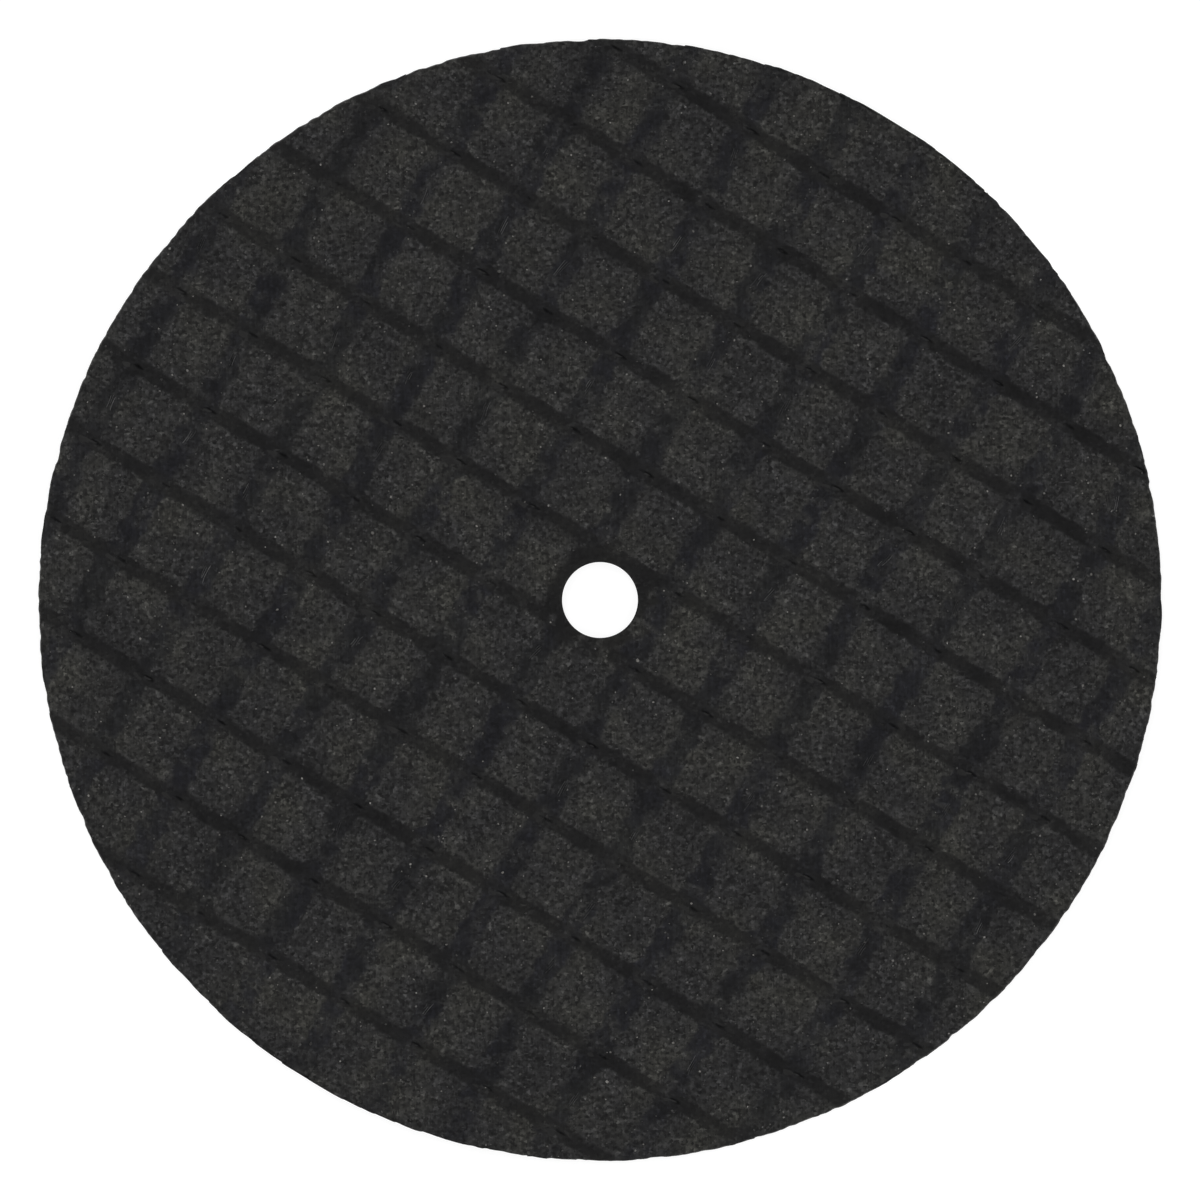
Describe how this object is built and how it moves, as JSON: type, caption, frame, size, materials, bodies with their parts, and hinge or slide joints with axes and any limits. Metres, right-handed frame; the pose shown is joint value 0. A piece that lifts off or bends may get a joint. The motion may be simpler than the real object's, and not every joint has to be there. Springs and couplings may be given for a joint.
{
  "type": "diamond grinding wheel",
  "caption": "Thin resin-bonded diamond disc moulded round an open leno glass-fibre scrim, with a plain bore for the screw of a rotary-tool mandrel",
  "frame": {"origin": "centre of the wheel, on the axis of the bore and half way through the thickness", "axes": "+Z is the bore's axis and points out of the front face; +X and +Y lie in the wheel's plane, with the warp of the scrim running 31.4 degrees clockwise from +X"},
  "size_m": [0.026, 0.026, 0.0004],
  "materials": {
    "abrasive_bond": "gritty moulded resin bond, matt charcoal with fine bright grains",
    "weft_glass_yarn": "flat glass-fibre yarn soaked in black resin, satin",
    "warp_glass_yarn": "twisted glass-fibre yarn soaked in black resin, satin"
  },
  "bodies": {
    "root": {"bonded_abrasive": "abrasive_bond", "weft_yarn_01": "weft_glass_yarn", "weft_yarn_02": "weft_glass_yarn", "weft_yarn_03": "weft_glass_yarn", "weft_yarn_04": "weft_glass_yarn", "weft_yarn_05": "weft_glass_yarn", "weft_yarn_06": "weft_glass_yarn", "weft_yarn_07": "weft_glass_yarn", "weft_yarn_08": "weft_glass_yarn", "weft_yarn_09": "weft_glass_yarn", "weft_yarn_10": "weft_glass_yarn", "weft_yarn_11": "weft_glass_yarn", "weft_yarn_12": "weft_glass_yarn", "weft_yarn_13": "weft_glass_yarn", "warp_yarn_01_a": "warp_glass_yarn", "warp_yarn_01_b": "warp_glass_yarn", "warp_yarn_02_a": "warp_glass_yarn", "warp_yarn_02_b": "warp_glass_yarn", "warp_yarn_03_a": "warp_glass_yarn", "warp_yarn_03_b": "warp_glass_yarn", "warp_yarn_04_a": "warp_glass_yarn", "warp_yarn_04_b": "warp_glass_yarn", "warp_yarn_05_a": "warp_glass_yarn", "warp_yarn_05_b": "warp_glass_yarn", "warp_yarn_06_a": "warp_glass_yarn", "warp_yarn_06_b": "warp_glass_yarn", "warp_yarn_07_a": "warp_glass_yarn", "warp_yarn_07_b": "warp_glass_yarn", "warp_yarn_08_a": "warp_glass_yarn", "warp_yarn_08_b": "warp_glass_yarn", "warp_yarn_09_a": "warp_glass_yarn", "warp_yarn_09_b": "warp_glass_yarn", "warp_yarn_10_a": "warp_glass_yarn", "warp_yarn_10_b": "warp_glass_yarn", "warp_yarn_11_a": "warp_glass_yarn", "warp_yarn_11_b": "warp_glass_yarn", "warp_yarn_12_a": "warp_glass_yarn", "warp_yarn_12_b": "warp_glass_yarn"}
  },
  "joints": []
}
